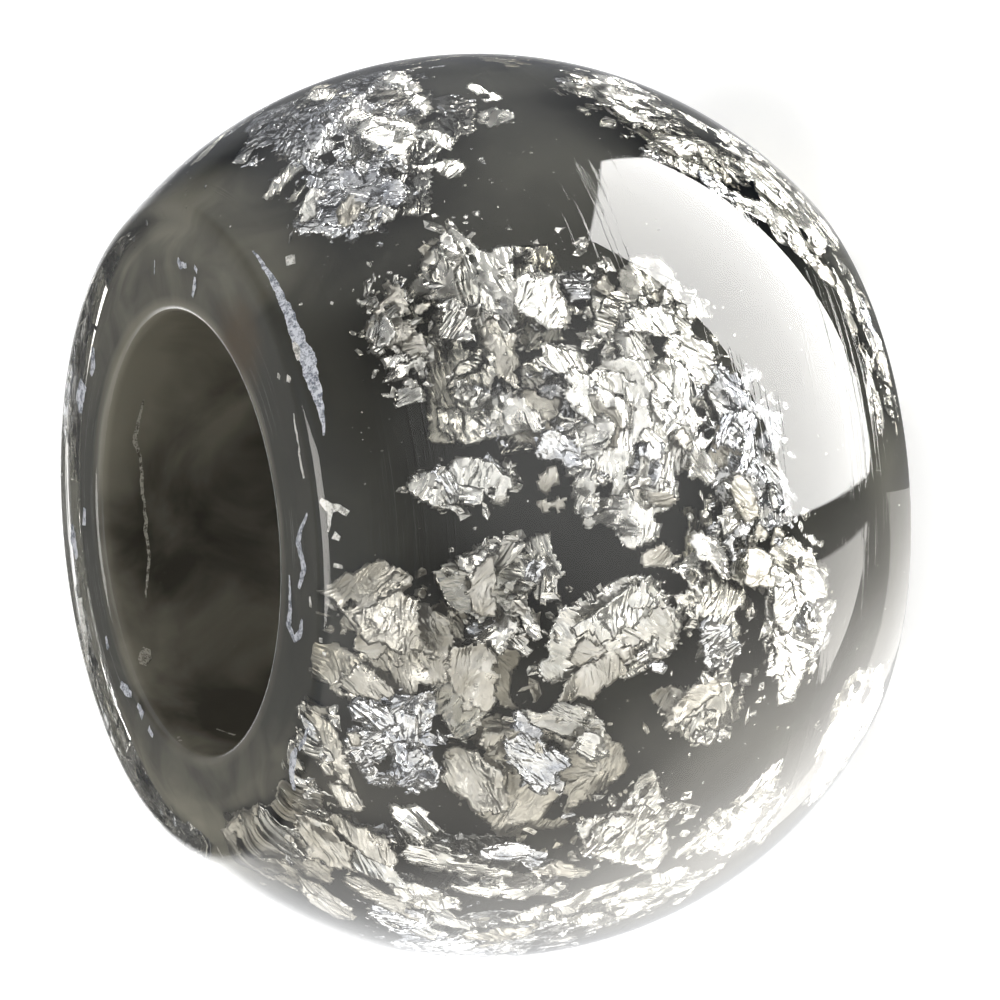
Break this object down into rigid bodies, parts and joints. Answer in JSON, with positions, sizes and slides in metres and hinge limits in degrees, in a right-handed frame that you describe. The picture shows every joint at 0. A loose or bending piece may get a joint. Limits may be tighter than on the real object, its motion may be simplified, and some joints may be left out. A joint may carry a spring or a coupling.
{
  "type": "european charm bead",
  "caption": "Round large-hole bead of smoke-tinted clear resin with torn silver leaf under its surface, threaded on a bracelet or cord.",
  "frame": {"origin": "middle of the bead's lower end face, on the surface that it rests on", "axes": "+Z along the bore, from the lower end face to the upper one; -Y is the side that is looked at"},
  "size_m": [0.012, 0.012, 0.0085],
  "materials": {
    "smoke_resin": "polished, smoke-tinted, slightly cloudy",
    "silver_leaf": "crumpled and torn"
  },
  "bodies": {
    "root": {"resin_body": "smoke_resin", "silver_leaf_01": "silver_leaf", "silver_leaf_02": "silver_leaf", "silver_leaf_03": "silver_leaf", "silver_leaf_04": "silver_leaf", "silver_leaf_05": "silver_leaf", "silver_leaf_06": "silver_leaf", "silver_leaf_07": "silver_leaf", "silver_leaf_08": "silver_leaf", "silver_leaf_09": "silver_leaf", "silver_leaf_10": "silver_leaf", "silver_leaf_11": "silver_leaf", "silver_leaf_12": "silver_leaf", "silver_leaf_13": "silver_leaf", "silver_leaf_14": "silver_leaf", "silver_leaf_15": "silver_leaf", "silver_leaf_16": "silver_leaf", "silver_leaf_17": "silver_leaf", "silver_leaf_18": "silver_leaf", "silver_leaf_19": "silver_leaf", "silver_leaf_20": "silver_leaf", "silver_leaf_21": "silver_leaf", "silver_leaf_22": "silver_leaf", "silver_leaf_23": "silver_leaf", "silver_leaf_24": "silver_leaf", "silver_leaf_25": "silver_leaf", "silver_leaf_26": "silver_leaf", "silver_leaf_27": "silver_leaf", "silver_leaf_28": "silver_leaf", "silver_leaf_29": "silver_leaf", "silver_leaf_30": "silver_leaf", "silver_leaf_31": "silver_leaf", "silver_leaf_32": "silver_leaf", "silver_leaf_33": "silver_leaf", "silver_leaf_34": "silver_leaf", "silver_leaf_35": "silver_leaf", "silver_leaf_36": "silver_leaf", "silver_leaf_37": "silver_leaf", "silver_leaf_38": "silver_leaf", "silver_leaf_39": "silver_leaf", "silver_leaf_40": "silver_leaf", "silver_leaf_41": "silver_leaf", "silver_leaf_42": "silver_leaf", "silver_leaf_43": "silver_leaf", "silver_leaf_44": "silver_leaf"}
  },
  "joints": []
}
